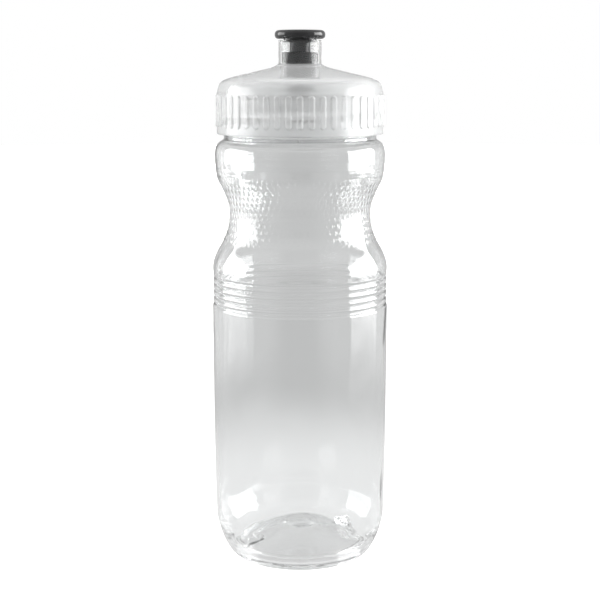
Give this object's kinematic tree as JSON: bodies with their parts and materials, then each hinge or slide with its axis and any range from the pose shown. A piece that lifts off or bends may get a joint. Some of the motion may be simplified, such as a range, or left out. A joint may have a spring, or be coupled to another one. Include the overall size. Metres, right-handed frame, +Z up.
{
  "type": "water bottle",
  "caption": "Clear squeeze water bottle for a bicycle cage, with a grip waist, a screw cap with grip bars and a push-pull drinking valve.",
  "frame": {"origin": "centre of the standing ring under the base", "axes": "+Z up along the bottle's axis, towards the drinking valve; the front faces -Y"},
  "size_m": [0.0734, 0.0734, 0.2202],
  "materials": {
    "clear_pet": "clear blow-moulded polyester, glossy, about 1 mm thick",
    "frosted_cap": "natural translucent polypropylene, finely frosted",
    "seal_rubber": "soft translucent silicone",
    "black_valve": "glossy black plastic"
  },
  "bodies": {
    "bottle": {"bottle": "clear_pet"},
    "seal": {"seal_ring": "seal_rubber"},
    "cap": {"cap": "frosted_cap"},
    "valve": {"valve_spout": "black_valve"}
  },
  "joints": [
    {"name": "cap_lift", "type": "slide", "parent": "bottle", "child": "seal", "axis": [0, 0, 1], "range_m": [0, 0.0165]},
    {"name": "cap_turn", "type": "hinge", "parent": "seal", "child": "cap", "pos_m": [0, 0, 0.1925], "axis": [0, 0, 1], "range_deg": [0, 990]},
    {"name": "valve_pull", "type": "slide", "parent": "cap", "child": "valve", "axis": [0, 0, 1], "range_m": [0, 0.004]}
  ],
  "couplings": [
    {"joint": "cap_lift", "follows": "cap_turn", "m_per_rad": 0.00095493}
  ]
}
